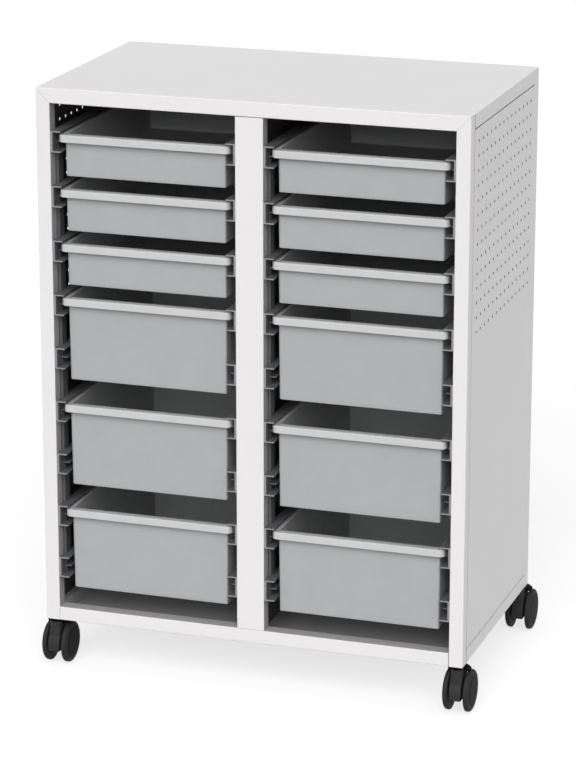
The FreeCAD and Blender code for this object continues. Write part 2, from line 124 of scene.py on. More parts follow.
class PanelSettings(bpy.types.PropertyGroup):
    sheet: length("Sheet", "Thickness of the folded sheet steel", 0.8)
    fold: length("Fold", "Outer radius of the folded edges", 1.0)
    reveal: length("Reveal", "Open joint round a side panel", 1.1)
    returns: length("Return", "Depth of the folded returns", 12)
    closing_gap: length("Closing gap", "Inner edge of a return to the frame", 0.05)
    hole: length("Hole", "Diameter of the punched holes", 5.6)
    pitch_along: length("Pitch along", "Spacing of the holes from front to rear", 26.5)
    pitch_down: length("Pitch down", "Spacing of the holes from top to bottom", 25.4)
    first_along: length("First along", "First column behind the panel's front edge", 27.75)
    first_down: length("First down", "First row below the panel's top edge", 24.5)
    count: IntProperty(name="Count", description="Holes in each row and column", default=14, min=1)


class RunnerSettings(bpy.types.PropertyGroup):
    web: length("Web", "Thickness of the upright web", 4)
    lip: length("Lip", "Thickness of the upper and lower lips", 2.6)
    lip_reach: length("Lip reach", "How far the lips reach into the bay", 18.5)
    depth: length("Depth", "Height of a runner over both lips", 38)
    ledge: length("Ledge", "Thickness of the ledge that the tray hangs on", 2.4)
    ledge_drop: length("Ledge drop", "Ledge below the runner's top", 19.8)
    ledge_reach: length("Ledge reach", "How far the ledge reaches into the bay", 17)
    setback: length("Setback", "Ledge behind the runner's front end", 18)
    pitch: length("Pitch", "Spacing of the runners down the bay", 97)
    count: IntProperty(name="Count", description="Runners down each side of a bay", default=9, min=1)
    rounding: length("Rounding", "Rounding of the moulded edges", 0.7)
    end_rounding: length("End rounding", "Rounding of a runner's front and rear ends", 0.4)
    # The lit copy of the runners' plastic goes on these front faces as painted light.
    end_zone: length("End zone", "Front faces this close behind the frame's front are trimmed ends", 4)
    upright: length("Upright", "Depth of the strip that joins the runners behind each post", 22)
    strip: length("Strip", "Thickness of that strip", 5)
    strip_inset: length("Strip inset", "Ends of that strip inside the runners' ends", 2)


class TraySettings(bpy.types.PropertyGroup):
    skirt: length("Skirt", "Height of the rim's turned-down skirt", 14)
    side: length("Side", "Rim beyond the tray's side walls", 9.5)
    end: length("End", "Rim beyond the tray's end walls", 10.5)
    wall: length("Wall", "Thickness of the moulded wall", 2)
    rim_corner: length("Rim corner", "Corner radius of the rim in plan", 10)
    body_corner: length("Body corner", "Corner radius of the tray's walls in plan", 3.5)
    bead: length("Bead", "Rounding of the rim's upper edge", 3.2)
    floor_inside: length("Floor inside", "Innermost ring of the floor's upper face, from the wall", 16)
    floor_outside: length("Floor outside", "Innermost ring of the floor's underside, from the wall", 12)
    rim_zone: length("Rim zone", "Height of the part that has the rim's finish", 16)
    draft: FloatProperty(name="Draft", description="Slope of the walls", default=0.0087, min=0.0)


class CasterSettings(bpy.types.PropertyGroup):
    wheel: length("Wheel", "Diameter of each wheel", 75)
    width: length("Width", "Width of each wheel", 14)
    tread: length("Tread", "Outer edge of the flat tread", 8.6)
    lead: length("Lead", "Inner edge of the flat tread", 3.8)
    face: length("Face", "Radius of the wheel's flat outer face", 24.5)
    # The hub's painted shade reaches this far beyond the flat face.
    hub_edge: length("Hub edge", "Hub's finish beyond the flat outer face", 5)
    gap: length("Gap", "Housing to wheel", 0.6)
    housing: length("Housing", "Width of the housing between the wheels", 20.8)
    foot: length("Foot", "Housing above the floor", 28)
    heel: length("Heel", "Housing behind the axle", 12)
    inset: length("Inset", "Housing inside the wheel's outline", 0.5)
    neck: length("Neck", "Radius of the neck round the stem", 10.5)
    collar: length("Collar", "Radius of the swivel collar on the neck", 8.5)
    collar_height: length("Collar height", "Height of the swivel collar", 3.6)
    hood: length("Hood", "Radius of the hood over the wheels", 20.8)
    hood_back: length("Hood set back", "Hood's centre behind the stem", 17)
    trail: length("Trail", "Wheel axle behind the stem", 21)
    stem: length("Stem", "Radius of the stem", 5.5)
    flange: length("Flange", "Thickness of the insert's flange under the post", 2)
    socket_inset: length("Socket inset", "Insert's socket inside the post's outline", 1.6)


class FinishSettings(bpy.types.PropertyGroup):
    white: colour("White steel", "Powder coat on the outside", "#ECEAEB")
    # Painted shade: the tubes' inner sides take a grey copy of the white powder coat, darker for the shade
    # inside the bays.
    inner_edge: colour("Inner edges", "Powder coat on the inner sides of the tubes", "#A8A6A7")
    # Painted shade: the inside of the side panels and the divider is dark grey for the shade in the bays,
    # while their outside stays white.
    charcoal: colour("Charcoal steel", "Powder coat on the side panels and the divider, inside", "#5C5C5C")
    # Painted shade: a dark grey for the shade inside the back and under the top, and for the shade deep in
    # the open joints.
    back: colour("Back", "Powder coat inside the back, the top and the open joints", "#6C6C6C")
    # Painted shade: the base is a grey copy of the white powder coat, darkened to the shade at the foot of
    # the bays.
    base: colour("Base", "Powder coat on the base", "#ACABAC")
    # Painted light: the runners are one plastic in a shaded copy, dark grey for the shade in the bays, and a
    # lit copy, lighter and glossier, on the front ends that face the lamp.
    runner: colour("Runner", "Moulded runners", "#5C5C5E")
    runner_lit_end: colour("Runner end", "Trimmed front ends of the runners", "#8C8C8E")
    tray: colour("Tray", "Thin walls of the trays", "#C2C3C4")
    # The rim is drawn lighter and more opaque than the thin walls.
    rim: colour("Rim", "Thick rim of the trays", "#D2D2D3")
    nylon: colour("Nylon", "Caster housings", "#333333")
    # Black nylon, made near-black as painted shade: the hoods, swivel collars and stem inserts sit in the
    # shade under the cabinet.
    cap: colour("Cap", "Hoods and stem inserts", "#0A0A0A")
    tyre: colour("Tyre", "Treads of the caster wheels", "#333333")
    # Painted shade: the wheels' outer faces are darker than their treads, for the shade on the sides of the
    # wheels.
    hub: colour("Hub", "Outer faces of the caster wheels", "#202020")
    steel: colour("Steel", "Axle pins", "#A9A9AB")


class StageSettings(bpy.types.PropertyGroup):
    azimuth: FloatProperty(
        name="Azimuth", description="Camera to the right of the front, in degrees", default=18.49)
    elevation: FloatProperty(
        name="Elevation", description="Camera above the level, in degrees", default=16.57)
    distance: length("Distance", "Camera to the point it looks at", 5591)
    lens: FloatProperty(name="Lens", description="Focal length in millimetres", default=154.0)
    target: FloatVectorProperty(
        name="Target", description="Point that the camera looks at",
        default=(0.0697, -0.246, 0.5768), subtype="TRANSLATION", unit="LENGTH")
    ambient: FloatProperty(name="Ambient", description="Level of the even light", default=0.3)
    key: FloatProperty(name="Key", description="Level of the front lamp", default=2.5)
    fill: FloatProperty(name="Fill", description="Level of the side lamp", default=0.42)


class TrayUnitSettings(bpy.types.PropertyGroup):
    tubes: PointerProperty(type=TubeSettings)
    panels: PointerProperty(type=PanelSettings)
    runners: PointerProperty(type=RunnerSettings)
    trays: PointerProperty(type=TraySettings)
    casters: PointerProperty(type=CasterSettings)
    finish: PointerProperty(type=FinishSettings)
    stage: PointerProperty(type=StageSettings)


# ------------------------------------------------------------------- mesh


def quads(rows, around, wrap=True):
    """Corner numbers of a grid's four-sided faces; each row closes on itself where wrap is true."""
    row = np.arange(rows - 1)[:, None]
    column = np.arange(around if wrap else around - 1)[None, :]
    beside = (column + 1) % around
    corners = (row * around + column, row * around + beside,
               (row + 1) * around + beside, (row + 1) * around + column)
    return np.stack(corners, -1).reshape(-1, 4)


def skin(rings):
    """Closed solid over a stack of rings: a band of faces between neighbours, one face at each end."""
    rows, around = rings.shape[:2]
    last = (rows - 1) * around
    ends = [list(range(around)), list(range(last, last + around))]
    return rings.reshape(-1, 3), quads(rows, around).tolist() + ends


def eased(points, cuts, steps=4):
    """Rounds the corners of a closed line.

    Corner P is replaced by the parabola from A to C that leans on it, (1-t)^2 A + 2t(1-t) P + t^2 C.
    A and C lie a cut before and after P, at most 0.48 of the way to the next corner.
    """
    points = np.asarray(points, float)
    before = np.roll(points, 1, 0) - points
    after = np.roll(points, -1, 0) - points
    cuts = np.broadcast_to(np.asarray(cuts, float), len(points))

    def cut_point(side):
        run = np.linalg.norm(side, axis=1)
        share = np.minimum(cuts, 0.48 * run) / np.maximum(run, 1e-9)
        return points + side * share[:, None]

    t = np.linspace(0, 1, steps + 1)[None, :, None]
    start, end = cut_point(before)[:, None], cut_point(after)[:, None]
    curve = (1 - t) ** 2 * start + 2 * t * (1 - t) * points[:, None] + t ** 2 * end
    return curve.reshape(-1, points.shape[1])


def eased_open(points, cuts, steps=4):
    """The same for an open line, whose two ends stay where they are."""
    inner = eased(points, cuts, steps)[steps + 1:-(steps + 1)]
    return np.vstack([points[:1], inner, points[-1:]])


def rounded_rectangle(centre, half, radius, steps=6):
    """Rings of rounded rectangles: four corner arcs, each centre + half - radius + radius (cos, sin).

    half is (rings, 2) and radius (rings,); the result is (rings, points, 2).
    """
    turn = np.linspace(0, np.pi / 2, steps + 1)
    angle = (np.arange(4)[:, None] * np.pi / 2 + turn[None, :]).ravel()
    sign = np.repeat([[1, 1], [-1, 1], [-1, -1], [1, -1]], steps + 1, axis=0)
    arc = np.stack([np.cos(angle), np.sin(angle)], -1)
    half, radius = np.asarray(half, float), np.asarray(radius, float)
    middle = sign[None] * (half - radius[:, None])[:, None, :]
    return np.asarray(centre) + middle + radius[:, None, None] * arc[None]


def revolved(section, centre, axis, steps=96):
    """Turns a line of (along, radius) points round an axis: centre + along * axis + radius * circle."""
    turn = np.arange(steps) * 2 * np.pi / steps
    others = [i for i in range(3) if i != axis]
    rings = np.zeros((len(section), steps, 3))
    rings[..., axis] = section[:, 0, None]
    rings[..., others[0]] = section[:, 1, None] * np.cos(turn)
    rings[..., others[1]] = section[:, 1, None] * np.sin(turn)
    return skin(rings + np.asarray(centre, float))


def joined(parts):
    """Several (points, faces) as one."""
    points, faces, start = [], [], 0
    for more_points, more_faces in parts:
        points.append(more_points)
        faces += [[corner + start for corner in face] for face in more_faces]
        start += len(more_points)
    return np.vstack(points), faces


def add_piece(name, shape, finishes, body, nodes, choose=None, smooth=True, outwards=None):
    """Puts a shape into a mesh object that rides on a body and stands for its CAD nodes.

    choose turns the faces' centres and normals into the numbers of their finishes. An open sheet
    gives the direction that its face looks, outwards.
    """
    points, faces = shape
    mesh = bpy.data.meshes.new(name)
    mesh.from_pydata(points.tolist(), [], faces)
    work = bmesh.new()
    work.from_mesh(mesh)
    bmesh.ops.remove_doubles(work, verts=work.verts, dist=2e-6)
    bmesh.ops.recalc_face_normals(work, faces=work.faces)
    if outwards:
        facing = sum((face.normal * face.calc_area() for face in work.faces), Vector())
        if facing.dot(outwards) < 0:
            bmesh.ops.reverse_faces(work, faces=work.faces)
    work.to_mesh(mesh)
    work.free()
    for finish in finishes:
        mesh.materials.append(finish)
    count = len(mesh.polygons)
    if choose:
        centres, normals = np.zeros(count * 3), np.zeros(count * 3)
        mesh.polygons.foreach_get("center", centres)
        mesh.polygons.foreach_get("normal", normals)
        picked = choose(centres.reshape(-1, 3), normals.reshape(-1, 3))
        mesh.polygons.foreach_set("material_index", picked.astype(np.int32))
    mesh.polygons.foreach_set("use_smooth", np.full(count, smooth))
    if smooth:
        mesh.set_sharp_from_angle(angle=np.radians(40))
    piece = bpy.data.objects.new(name, mesh)
    bpy.context.scene.collection.objects.link(piece)
    if smooth:
        weights = piece.modifiers.new("Flat faces first", "WEIGHTED_NORMAL")
        weights.keep_sharp = True
    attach(piece, body)
    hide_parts(*nodes)
    return piece


# -------------------------------------------------------------- materials


def add_node(tree, kind, settings=None, links=None):
    """Adds a shader node, fills in its fields and inputs, and joins inputs to other outputs."""
    node = tree.nodes.new(kind)
    for key, value in (settings or {}).items():
        if isinstance(key, int) or key in node.inputs:
            node.inputs[key].default_value = value
        else:
            setattr(node, key, value)
    for key, output in (links or {}).items():
        tree.links.new(output, node.inputs[key])
    return node


def new_material(name):
    """An empty material, its node tree, its output node and its object coordinates."""
    material = bpy.data.materials.new(name)
    material.use_nodes = True
    tree = material.node_tree
    tree.nodes.clear()
    out = add_node(tree, "ShaderNodeOutputMaterial")
    where = add_node(tree, "ShaderNodeTexCoord").outputs["Object"]
    return material, tree, out, where


def shade(base, factor):
    """The same colour, lighter or darker, with its alpha."""
    return [min(1.0, c * factor) for c in base] + [1.0]


def noise(tree, where, size, detail, rough=0.5):
    """Soft noise with patches of this size, in metres, as values from 0 to 1."""
    settings = {"Scale": 1 / size, "Detail": detail, "Roughness": rough}
    return add_node(tree, "ShaderNodeTexNoise", settings, {"Vector": where}).outputs["Fac"]


def tinted(tree, base, darkest, lightest, share):
    """The base colour, varied between two factors."""
    settings = {"data_type": "RGBA", 6: shade(base, darkest), 7: shade(base, lightest)}
    return add_node(tree, "ShaderNodeMix", settings, {0: share}).outputs[2]


def between(tree, low, high, share):
    """A value varied from low to high."""
    return add_node(tree, "ShaderNodeMapRange", {"To Min": low, "To Max": high}, {"Value": share}).outputs[0]


def surface(tree, out, settings, tone, rough, height=None, strength=0.0, distance=0.0003):
    """Ends a material in a principled surface with this tone, roughness and relief."""
    links = {"Base Color": tone, "Roughness": rough}
    if height:
        relief = {"Strength": strength, "Distance": distance}
        links["Normal"] = add_node(tree, "ShaderNodeBump", relief, {"Height": height}).outputs[0]
    body = add_node(tree, "ShaderNodeBsdfPrincipled", settings, links)
    tree.links.new(body.outputs[0], out.inputs[0])


def powder_coated_steel(name, base, rough):
    """Polyester powder on mild steel.

    Cured powder is satin, with a faint orange peel of 1 to 2 mm cells, drawn here at 5 mm so that it
    shows, and its film is a shade uneven over a hand's breadth.
    """
    material, tree, out, where = new_material(name)
    film = noise(tree, where, 0.16, 3.0)
    peel = noise(tree, where, 0.005, 2.0, 0.45)
    surface(tree, out, {"IOR": 1.5}, tinted(tree, base, 0.985, 1.015, film),
            between(tree, rough - 0.04, rough + 0.04, peel), peel, 0.05)
    return material


def moulded_plastic(name, base, rough, grain, specular, depth):
    """Injection-moulded plastic from an eroded mould.

    The spark-eroded grain, drawn at 3 to 4 mm so that it shows, breaks up the highlights. Flow marks
    about 30 mm apart vary the tone a little.
    """
    material, tree, out, where = new_material(name)
    flow = noise(tree, where, 0.03, 4.0, 0.55)
    pits = noise(tree, where, grain, 1.0)
    surface(tree, out, {"IOR": 1.5, "Specular IOR Level": specular}, tinted(tree, base, 0.94, 1.06, flow),
            between(tree, rough - 0.06, rough + 0.06, pits), pits, depth)
    return material


def translucent_polypropylene(name, base, cover):
    """Natural polypropylene, injection moulded.

    It is milky: it lets bright spots through and hides the rest, and its walls are mottled where the
    melt cooled unevenly, in patches about 45 mm apart.
    """
    material, tree, out, where = new_material(name)
    patches = noise(tree, where, 0.045, 4.0, 0.6)
    ripple = noise(tree, where, 0.02, 2.0)
    surface(tree, out, {"IOR": 1.49, "Alpha": cover}, tinted(tree, base, 0.93, 1.07, patches),
            between(tree, 0.4, 0.52, patches), ripple, 0.05, 0.001)
    return material


def drawn_steel(name, base):
    """Bright drawn steel pin with fine turning marks round it, about 0.8 mm apart."""
    material, tree, out, where = new_material(name)
    settings = {"bands_direction": "X", "Scale": 1 / 0.0025, "Distortion": 1.5, "Detail": 2.0}
    marks = add_node(tree, "ShaderNodeTexWave", settings, {"Vector": where}).outputs["Fac"]
    surface(tree, out, {"Metallic": 1.0}, tinted(tree, base, 0.85, 1.1, marks),
            between(tree, 0.25, 0.4, marks))
    return material


def finishes():
    """The unit's materials by name, each made once."""
    f = bpy.context.scene.tray_unit.finish
    makers = {
        "white": (powder_coated_steel, "powder_coat_white", f.white, 0.42),
        # inner is the painted shade on the tubes' inner sides.
        "inner": (powder_coated_steel, "powder_coat_inner_edges", f.inner_edge, 0.5),
        # charcoal is painted shade inside the side panels and on the divider.
        "charcoal": (powder_coated_steel, "powder_coat_charcoal", f.charcoal, 0.55),
        # back is painted shade inside the back and the top, and in the tubes' joints.
        "back": (powder_coated_steel, "powder_coat_back", f.back, 0.55),
        # base is painted shade on the floor of the bays.
        "base": (powder_coated_steel, "powder_coat_base", f.base, 0.5),
        # The runner's dark body and its lighter front ends are shaded and lit copies of one plastic, as
        # painted light and shade.
        "runner": (moulded_plastic, "abs_runner", f.runner, 0.5, 0.004, 0.35, 0.06),
        "runner_lit_end": (moulded_plastic, "abs_runner_trimmed", f.runner_lit_end, 0.55, 0.004, 0.5, 0.06),
        "tray": (translucent_polypropylene, "polypropylene_wall", f.tray, 0.74),
        "rim": (translucent_polypropylene, "polypropylene_rim", f.rim, 0.93),
        # Painted shade: the rim's upward faces are nearly clear, so that they read as dark as the shade in
        # the bays.
        "lip": (translucent_polypropylene, "polypropylene_lip", f.tray, 0.3),
        "nylon": (moulded_plastic, "nylon_housing", f.nylon, 0.5, 0.003, 0.1, 0.1),
        # cap is black nylon darkened further as painted shade under the cabinet.
        "cap": (moulded_plastic, "nylon_cap", f.cap, 0.55, 0.003, 0.03, 0.1),
        "tyre": (moulded_plastic, "polyurethane_tyre", f.tyre, 0.55, 0.004, 0.05, 0.1),
        # hub is painted shade on the wheels' outer faces.
        "hub": (moulded_plastic, "nylon_hub", f.hub, 0.5, 0.004, 0.02, 0.1),
        "steel": (drawn_steel, "drawn_steel_pin", f.steel),
    }
    made = bpy.data.materials
    return {key: made.get(name) or make(name, *values)
            for key, (make, name, *values) in makers.items()}


def repaint(node, finish):
    """Gives a CAD node that keeps its shape another material."""
    mesh = frame["nodes"][node].data
    mesh.materials.clear()
    mesh.materials.append(finish)


# ----------------------------------------------------------------- pieces


def square_tube(low, high, axis, corners, joint, depth, mitres=()):
    """Square tube: P(s, t) = the rounded cross-section at t, carried along the axis to s.

    The section is stepped in by a depth over the joint's width at both cut ends, (low, high). A mitre
    (end, cross axis, long side) moves each point of that end along by its distance from the long side.
    """
    across = [i for i in range(3) if i != axis]
    # Which end, behind the joint or not, stepped in or not.
    stations = ((0, 0, 1), (0, 1, 1), (0, 1, 0), (1, 1, 0), (1, 1, 1), (1, 0, 1))
    rings = []
    for end, open_joint, stepped in stations:
        step = open_joint * joint[end]
        draw_in = stepped * depth
        (a0, b0), (a1, b1) = low[across] + draw_in, high[across] - draw_in
        outline = eased([(a0, b0), (a1, b0), (a1, b1), (a0, b1)], corners, 5)
        ring = np.zeros((len(outline), 3))
        ring[:, across] = outline
        ring[:, axis] = low[axis] + step if end == 0 else high[axis] - step
        for mitred, side, long_side in mitres:
            if mitred == end:
                inwards = 1 if end == 0 else -1
                ring[:, axis] += inwards * np.abs(ring[:, side] - long_side)
        rings.append(ring)
    return skin(np.array(rings))


# The faces that this picks get the painted shade of the inner sides.
def inner_side(centres, normals):
    """1 for faces that look into the body, 0 for faces on or beside its outside."""
    margin = 2.5 * MM
    top = BODY_HIGH[2] - SHEET
    outside = (np.abs(centres[:, 0]) > BODY_HIGH[0] - margin) | (centres[:, 1] < BODY_LOW[1] + margin)
    outside |= (centres[:, 1] > BODY_HIGH[1] - margin) | (centres[:, 2] < BODY_LOW[2] + margin)
    outside |= centres[:, 2] > top - margin
    return (~outside).astype(int)


class TRAYUNIT_OT_tubes(bpy.types.Operator):
    """Build the welded frame of square tubes"""

    bl_idname = "tray_unit.tubes"
    bl_label = "Tube frame"

    def execute(self, context):
        tubes = context.scene.tray_unit.tubes
        finish = finishes()
        names = ["rail_top_front", "rail_top_rear", "rail_top_left", "rail_top_right",
                 "rail_bottom_front", "rail_bottom_rear", "rail_bottom_left", "rail_bottom_right",
                 "stile_centre_front", "stile_centre_rear"] + [f"post_{c}" for c in CORNERS]
        for name in names:
            low, high = (np.array(corner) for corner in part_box(name))
            axis = int(np.argmax(high - low))
            mitres, joint = [], (tubes.seam, tubes.seam)
            if axis == 1:
                joint = (tubes.side_seam, tubes.side_seam)
            if name in ("rail_top_front", "rail_top_rear"):
                mitres, joint = [(0, 2, high[2]), (1, 2, high[2])], (tubes.mitre_seam, tubes.mitre_seam)
            if name.startswith("post"):
                outer = low[0] if name.endswith("left") else high[0]
                mitres, joint = [(1, 0, outer)], (tubes.foot_joint, tubes.mitre_seam)
            corners = np.full(4, tubes.corner)
            if name.startswith("rail_top"):
                corners[2:] = tubes.covered_edge
            if name.startswith("rail_bottom"):
                corners[2:] = tubes.crisp_edge
            shape = square_tube(low, high, axis, corners, joint, tubes.seam_depth, mitres)

            def paint(at, n, low=low, high=high, axis=axis, joint=joint, mitred=bool(mitres)):
                run_in = np.minimum(at[:, axis] - low[axis] - joint[0], high[axis] - joint[1] - at[:, axis])
                # Faces in the open joints take the back's dark painted shade.
                in_joint = (run_in < NEAR) & (not mitred)
                # Faces that look into the body take the painted shade of the inner sides.
                return np.where(in_joint, 2, inner_side(at, n))

            add_piece(f"{name}_tube", shape, [finish["white"], finish["inner"], finish["back"]],
                      "cabinet", [name], paint)
        return {"FINISHED"}


def slab(low, high, axis, corner, lower, upper):
    """Flat sheet with eased edges: rounded outlines stacked through its thickness.

    The outermost outlines draw in along a quarter circle: in = edge (1 - sin a), up = edge (1 - cos a).
    """
    across = [i for i in range(3) if i != axis]
    angle = np.linspace(0, np.pi / 2, 5)
    back = angle[::-1]
    draw_in = np.concatenate([lower * (1 - np.sin(angle)), upper * (1 - np.sin(back))])
    level = np.concatenate([low[axis] + lower * (1 - np.cos(angle)), high[axis] - upper * (1 - np.cos(back))])
    half = (high[across] - low[across]) / 2 - draw_in[:, None]
    radius = np.maximum(corner - draw_in, 0.1 * MM)
    outline = rounded_rectangle((high[across] + low[across]) / 2, half, radius, 4)
    rings = np.zeros(outline.shape[:2] + (3,))
    rings[..., across] = outline
    rings[..., axis] = level[:, None]
    return skin(rings)


class TRAYUNIT_OT_sheets(bpy.types.Operator):
    """Build the top and the back, and give the sheets inside the body a painted shade"""

    bl_idname = "tray_unit.sheets"
    bl_label = "Top, back, base and divider"

    def execute(self, context):
        finish = finishes()
        tubes = context.scene.tray_unit.tubes

        def sheet(name, axis, inside, lower, upper):
            low, high = (np.array(c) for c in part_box(name))
            shape = slab(low, high, axis, tubes.corner, lower, upper)
            # Faces that look into the body take the back's painted shade.
            add_piece(f"{name}_sheet", shape, [finish["white"], finish["back"]], "cabinet",
                      [name], lambda at, n: (n[:, axis] * inside > 0.9).astype(int))

        sheet("panel_top", 2, -1, tubes.covered_edge, tubes.top_edge)
        sheet("panel_back", 1, -1, tubes.covered_edge, tubes.back_edge)
        # The base is all painted shade.
        repaint("panel_base", finish["base"])
        # The divider is all painted shade.
        repaint("panel_divider", finish["charcoal"])
        return {"FINISHED"}


def folded_edge(start, end, lines, radius, returns, flare):
    """Positions across a folded sheet, how deep each lies below its face, and its kind.

    From each side: the return's edge (2), the fold's quarter circle (1), then the given lines in the
    flat (0). The returns lean outwards by the flare, which closes the open joint behind the fold.
    """
    angle = np.linspace(np.pi / 2, 0, 5)
    arc_at, arc_deep = radius * (1 - np.sin(angle)), radius * (1 - np.cos(angle))
    at = np.concatenate([[start - flare], start + arc_at, lines, end - arc_at[::-1], [end + flare]])
    deep = np.concatenate([[returns], arc_deep, np.zeros(len(lines)), arc_deep[::-1], [returns]])
    kind = np.concatenate([[2], np.ones(4), np.zeros(len(lines) + 1), np.ones(4), [2]])
    return at, deep, kind


def perforated_sheet(low, high, hand, settings):
    """Punched and folded side panel, as one open surface.

    Round each hole, P(s, t) = (1 - s) circle(t) + s square(t) joins the hole to its square cell.
    Outside the cells the surface is a grid over the folded edges' positions and depths.
    """
    half_y, half_z = settings.pitch_along / 2, settings.pitch_down / 2
    ys = low[1] + settings.first_along + settings.pitch_along * np.arange(settings.count)
    zs = high[2] - settings.first_down - settings.pitch_down * np.arange(settings.count)[::-1]
    low, high = low + (0, settings.reveal, settings.reveal), high - (0, settings.reveal, settings.reveal)
    around = 16
    step = 2 * np.pi / around
    turn = np.arange(around) * step
    circle = np.stack([np.cos(turn), np.sin(turn)], -1)
    square = circle / np.abs(circle).max(1, keepdims=True)
    ring = np.stack([circle * settings.hole / 2, square * (half_y, half_z)])
    centres = np.stack(np.meshgrid(ys, zs, indexing="ij"), -1).reshape(-1, 1, 1, 2)
    cells = centres + ring[None]
    cell_points = np.zeros(cells.shape[:3] + (3,))
    cell_points[..., 1:] = cells
    start = np.arange(len(cells))[:, None, None] * 2 * around
    cell_faces = (quads(2, around)[None] + start).reshape(-1, 4)

    part = np.array([-1, -np.tan(step), 0, np.tan(step)])  # the square's points along one side
    lines_y = np.append(np.add.outer(ys, half_y * part).ravel(), ys[-1] + half_y)
    lines_z = np.append(np.add.outer(zs, half_z * part).ravel(), zs[-1] + half_z)
    folds = settings.fold, settings.returns, settings.reveal - settings.closing_gap
    at_y, deep_y, kind_y = folded_edge(low[1], high[1], lines_y, *folds)
    at_z, deep_z, kind_z = folded_edge(low[2], high[2], lines_z, *folds)
    grid = np.stack(np.broadcast_arrays(deep_y[:, None] + deep_z, at_y[:, None], at_z), -1)
    in_y = (at_y[:-1] > lines_y[0] - NEAR) & (at_y[1:] < lines_y[-1] + NEAR)
    in_z = (at_z[:-1] > lines_z[0] - NEAR) & (at_z[1:] < lines_z[-1] + NEAR)
    notch = (kind_y[:, None] + kind_z) > 2  # a return meets a fold or another return
    keep = ~(in_y[:, None] & in_z | notch)
    grid_faces = quads(len(at_y), len(at_z), wrap=False)[keep.ravel()] + cell_points.size // 3

    points = np.vstack([cell_points.reshape(-1, 3), grid.reshape(-1, 3)])
    faces = np.vstack([cell_faces, grid_faces])
    used, faces = np.unique(faces, return_inverse=True)
    points = points[used]
    points[:, 0] = hand * (max(abs(low[0]), abs(high[0])) - points[:, 0])
    faces = faces.reshape(-1, 4)
    return points, faces.tolist()


class TRAYUNIT_OT_side_panels(bpy.types.Operator):
    """Build the two folded side panels with their punched holes"""

    bl_idname = "tray_unit.side_panels"
    bl_label = "Punched side panels"

    def execute(self, context):
        settings = context.scene.tray_unit.panels
        finish = finishes()

        # Returns, folds and hole walls take the dark painted shade.
        def folded_away(at, n):
            return (np.abs(n[:, 0]) < 0.75).astype(int)

        for side, hand in (("left", -1), ("right", 1)):
            node = f"panel_side_{side}"
            low, high = (np.array(corner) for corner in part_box(node))
            shape = perforated_sheet(low, high, hand, settings)
            piece = add_piece(f"{node}_sheet", shape, [finish["white"], finish["charcoal"]], "cabinet",
                              [node], folded_away, smooth=False, outwards=(hand, 0, 0))
            sheet = piece.modifiers.new("Sheet", "SOLIDIFY")
            sheet.thickness = settings.sheet
            sheet.offset = -1
            # The sheet's inner shell and cut edges take the dark painted shade.
            sheet.material_offset = 1
            sheet.material_offset_rim = 1
        return {"FINISHED"}


def runner_section(settings, ledge_reach, draw_in):
    """Cross-section of a runner: a web with an upper lip, a ledge and a lower lip, drawn in all round."""
    web, lip, reach, depth = settings.web, settings.lip, settings.lip_reach, settings.depth
    top, foot = -settings.ledge_drop, -settings.ledge_drop - settings.ledge
    corners = np.array([
        (0, 0), (reach, 0), (reach, -lip), (web, -lip), (web, top), (ledge_reach, top),
        (ledge_reach, foot), (web, foot), (web, -depth + lip), (reach, -depth + lip),
        (reach, -depth), (0, -depth)])
    inwards = np.array([(1, -1), (-1, -1), (-1, 1), (-1, 1), (-1, -1), (-1, -1),
                        (-1, 1), (-1, 1), (-1, -1), (-1, -1), (-1, 1), (1, 1)])
    return eased(corners + inwards * draw_in, settings.rounding, 3)


def runner_strip(settings, low, high, hand):
    """One runner: P(s, t) = the cross-section at t, carried from front to rear.

    The ledge grows out of the web behind the setback, and the section draws in at both ends.
    """
    soft = settings.end_rounding
    begin = low[1] + settings.setback
    stations = [(low[1], 0, soft), (low[1] + 0.1 * MM, 0, 0.15 * MM), (low[1] + soft, 0, 0),
                (begin, 0, 0), (begin + 0.5 * MM, 1, 0), (high[1] - soft, 1, 0), (high[1], 1, soft)]
    rings = []
    for y, grown, draw_in in stations:
        reach = settings.web + grown * (settings.ledge_reach - settings.web)
        section = runner_section(settings, reach, draw_in)
        x = low[0] + section[:, 0] if hand > 0 else high[0] - section[:, 0]
        rings.append(np.stack([x, np.full(len(section), y), high[2] + section[:, 1]], -1))
    return skin(np.array(rings))


class TRAYUNIT_OT_runners(bpy.types.Operator):
    """Build the moulded runners that the trays hang on"""

    bl_idname = "tray_unit.runners"
    bl_label = "Runners"

    def execute(self, context):
        settings = context.scene.tray_unit.runners
        finish = finishes()

        # Front faces near the frame's front take the lit copy, as painted light.
        def lit_front_ends(at, n):
            return ((n[:, 1] < -0.5) & (at[:, 1] < BODY_LOW[1] + settings.end_zone)).astype(int)

        for node in (f"runners_{bay}_{side}" for bay in BAYS for side in ("outer", "inner")):
            low, high = (np.array(corner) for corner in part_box(node))
            hand = 1 if node in ("runners_left_outer", "runners_right_inner") else -1
            points, faces = runner_strip(settings, low, high, hand)
            drops = settings.pitch * np.arange(settings.count)
            strips = [(points - (0, 0, drop), faces) for drop in drops]
            root = low[0] if hand > 0 else high[0]
            side = sorted((root, root + hand * settings.strip))
            soft = settings.end_rounding
            for front in (BODY_LOW[1] + TUBE, BODY_HIGH[1] - TUBE - settings.upright):
                foot = np.array((side[0], front, low[2] + settings.strip_inset))
                head = np.array((side[1], front + settings.upright, high[2] - settings.strip_inset))
                strips.append(slab(foot, head, 2, 1.5 * soft, soft, soft))
            add_piece(f"{node}_strips", joined(strips), [finish["runner"], finish["runner_lit_end"]], "cabinet",
                      [node], lit_front_ends)
        return {"FINISHED"}


